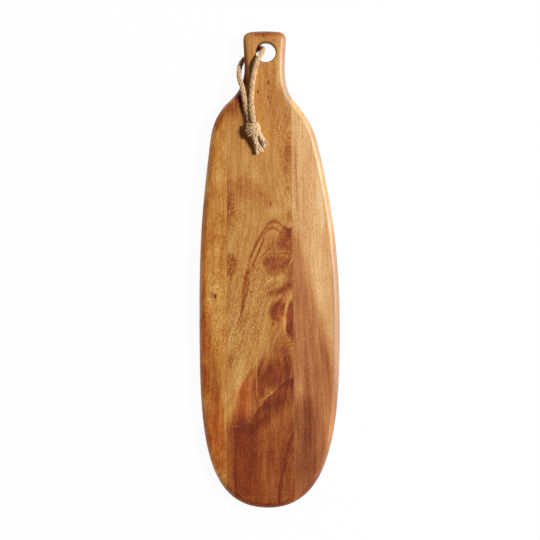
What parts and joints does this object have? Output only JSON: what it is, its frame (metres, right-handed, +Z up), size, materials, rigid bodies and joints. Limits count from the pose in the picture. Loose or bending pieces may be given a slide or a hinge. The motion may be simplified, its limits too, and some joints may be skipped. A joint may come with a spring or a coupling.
{
  "type": "bread board",
  "caption": "Long bread and serving board of edge-glued hardwood staves, with a rounded body, a waisted handle, a hanging hole and a knotted natural cord loop.",
  "frame": {"origin": "on the surface that the board lies on, under the middle of the board's box", "axes": "+Z up, away from the surface; +Y along the board towards its handle; +X to the right, seen from above with the handle away from the viewer"},
  "size_m": [0.1416, 0.48, 0.0327],
  "materials": {
    "left_wood": "oiled satin, golden orange hardwood",
    "centre_wood": "oiled satin, golden brown hardwood with dark figure",
    "right_wood": "oiled satin, pale hardwood turning red-brown",
    "glue": "thin dark glue line",
    "cord": "braided natural fibre cord"
  },
  "bodies": {
    "board": {"left_stave": "left_wood", "left_glue_line": "glue", "centre_stave": "centre_wood", "right_glue_line": "glue", "right_stave": "right_wood"},
    "cord": {"hanging_loop": "cord", "cord_knot": "cord", "cord_tail_left": "cord", "cord_tail_right": "cord"}
  },
  "joints": [
    {"name": "cord_swing", "type": "hinge", "parent": "board", "child": "cord", "pos_m": [-0.0038, 0.21845, 0.01309], "axis": [0, -0.0124, 0.9999], "range_deg": [-20, 0]}
  ]
}
